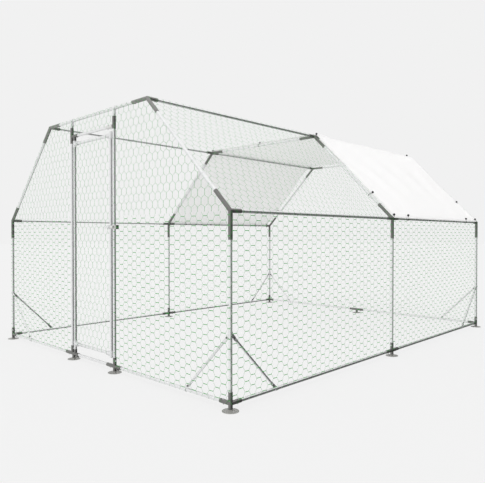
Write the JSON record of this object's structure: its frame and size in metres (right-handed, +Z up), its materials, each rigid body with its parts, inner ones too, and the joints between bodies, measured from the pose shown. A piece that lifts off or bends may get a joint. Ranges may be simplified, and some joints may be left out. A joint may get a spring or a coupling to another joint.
{
  "type": "chicken run",
  "caption": "Walk-in poultry run: tube frame with sleeve fittings, hexagonal wire net walls and roof, hinged door with a slide bolt, and a rain cover over the rear bay.",
  "frame": {"origin": "on the ground, in the middle of the run's footprint", "axes": "+Z up, Y along the run's length with the door facing -Y, X across the run"},
  "size_m": [3.1, 3.9, 1.9711],
  "materials": {
    "galvanised_tube": "galvanised, satin",
    "fitting_steel": "darker galvanised, matt",
    "bright_zinc": "bright zinc, satin",
    "net_wire": "green coated wire",
    "cover_cloth": "white coated woven sheet",
    "tie_ball": "black moulded"
  },
  "bodies": {
    "frame": {"front_posts": "galvanised_tube", "middle_posts": "galvanised_tube", "rear_posts": "galvanised_tube", "front_rafters": "galvanised_tube", "middle_rafters": "galvanised_tube", "rear_rafters": "galvanised_tube", "front_top_tie": "galvanised_tube", "middle_top_tie": "galvanised_tube", "rear_top_tie": "galvanised_tube", "left_eave_rails": "galvanised_tube", "right_eave_rails": "galvanised_tube", "left_ridge_rails": "galvanised_tube", "right_ridge_rails": "galvanised_tube", "left_base_rails": "galvanised_tube", "right_base_rails": "galvanised_tube", "front_base_rails": "galvanised_tube", "door_sill": "galvanised_tube", "rear_base_rails": "galvanised_tube", "hinge_post": "galvanised_tube", "latch_post": "galvanised_tube", "lintel": "galvanised_tube", "corner_braces": "galvanised_tube", "brace_clips": "fitting_steel", "front_left_foot": "fitting_steel", "front_right_foot": "fitting_steel", "middle_left_foot": "fitting_steel", "middle_right_foot": "fitting_steel", "rear_left_foot": "fitting_steel", "rear_right_foot": "fitting_steel", "rear_centre_foot": "fitting_steel", "hinge_post_foot": "fitting_steel", "latch_post_foot": "fitting_steel", "gable_eave_joints": "fitting_steel", "middle_eave_joints": "fitting_steel", "gable_ridge_joints": "fitting_steel", "middle_ridge_joints": "fitting_steel", "hinge_lintel_joint": "fitting_steel", "latch_lintel_joint": "fitting_steel", "post_top_joints": "bright_zinc", "latch_keeper": "fitting_steel", "front_wall_nets": "net_wire", "front_gable_nets": "net_wire", "left_wall_net": "net_wire", "right_wall_net": "net_wire", "rear_wall_net": "net_wire", "rear_gable_net": "net_wire", "left_roof_net": "net_wire", "right_roof_net": "net_wire", "top_roof_net": "net_wire", "rain_cover": "cover_cloth", "ball_ties": "tie_ball"},
    "door": {"door_hinge_stile": "galvanised_tube", "door_latch_stile": "galvanised_tube", "door_top_rail": "galvanised_tube", "door_bottom_rail": "galvanised_tube", "door_corner_clamps": "bright_zinc", "door_net": "net_wire", "latch_guide": "bright_zinc"},
    "bolt": {"latch_bolt": "bright_zinc"}
  },
  "joints": [
    {"name": "door_hinge", "type": "hinge", "parent": "frame", "child": "door", "pos_m": [-0.282, -1.9, 0], "axis": [0, 0, -1], "range_deg": [0, 120]},
    {"name": "latch_slide", "type": "slide", "parent": "door", "child": "bolt", "axis": [1, 0, 0], "range_m": [0, 0.022]}
  ]
}
